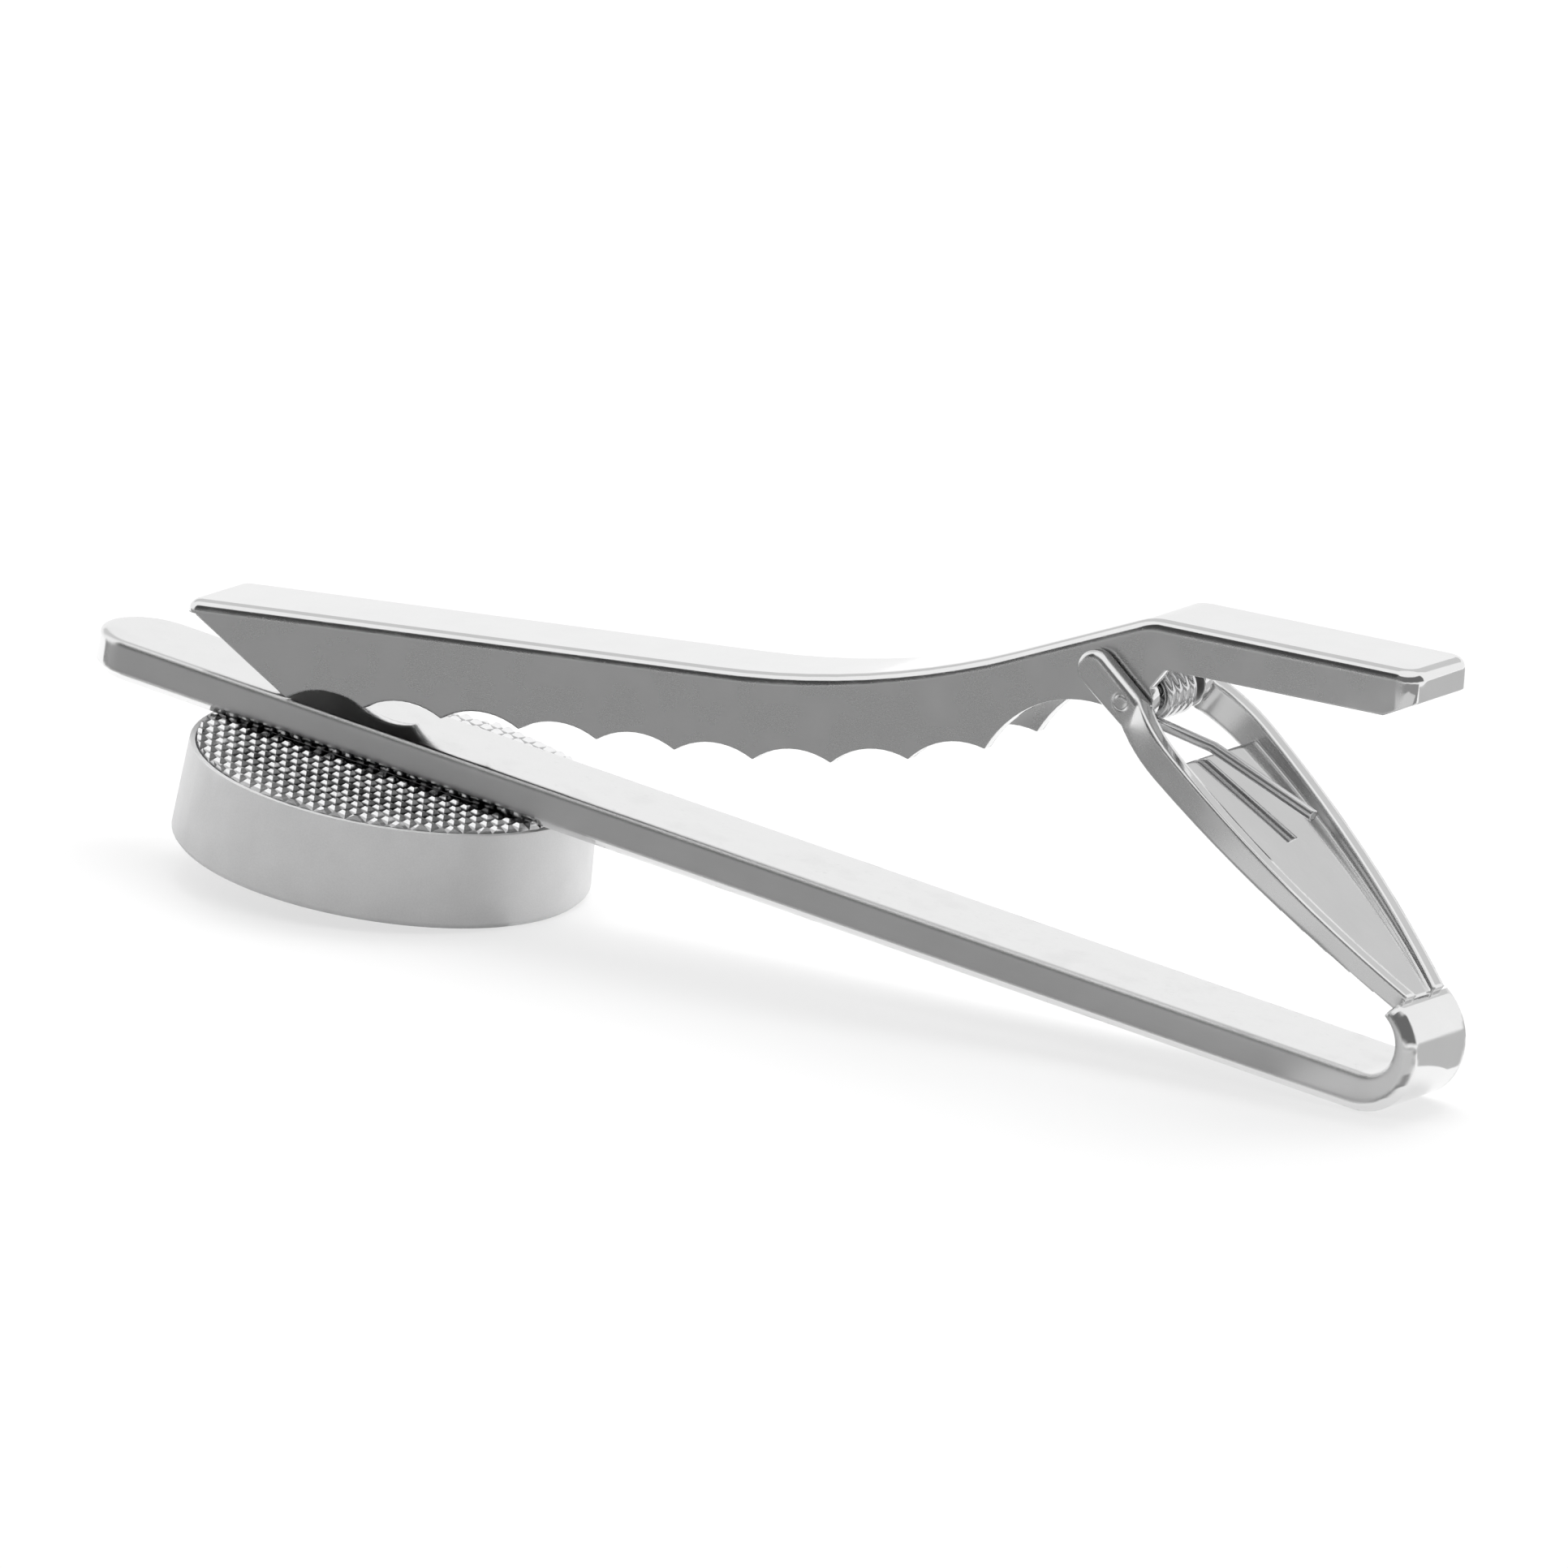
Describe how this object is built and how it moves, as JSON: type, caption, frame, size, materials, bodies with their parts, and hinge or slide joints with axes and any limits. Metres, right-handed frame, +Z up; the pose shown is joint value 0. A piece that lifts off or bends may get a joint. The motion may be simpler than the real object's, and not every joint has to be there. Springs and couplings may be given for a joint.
{
  "type": "tie clip",
  "caption": "Chrome alligator tie clip: a long bar hooked round to a sprung lever with scalloped teeth, and a satin drum with an empty badge seat and a knurled back.",
  "frame": {"origin": "middle of the clip's footprint, on the table that it lies on face down", "axes": "+X along the bar, from its free end to the hook; +Z up from the table; Y across the bar"},
  "size_m": [0.0582, 0.0154, 0.0165],
  "materials": {
    "polished_chrome": "mirror polished",
    "spring_wire": "bright drawn wire",
    "satin_metal": "fine satin",
    "knurled_chrome": "bright, knurled",
    "solder": "dull"
  },
  "bodies": {
    "clip_base": {"front_bar": "polished_chrome", "hinge_bracket": "polished_chrome", "hinge_pin": "polished_chrome", "torsion_spring": "spring_wire", "badge_drum": "satin_metal", "knurled_back": "knurled_chrome", "solder_pad": "solder"},
    "lever": {"jaw_lever": "polished_chrome"}
  },
  "joints": [
    {"name": "jaw_hinge", "type": "hinge", "parent": "clip_base", "child": "lever", "pos_m": [0.01636, 0, 0.01341], "axis": [0, 1, 0], "range_deg": [0, 25], "stiffness_Nm_per_rad": 0.06, "springref_deg": -22.92, "deforming": ["torsion_spring"]}
  ]
}
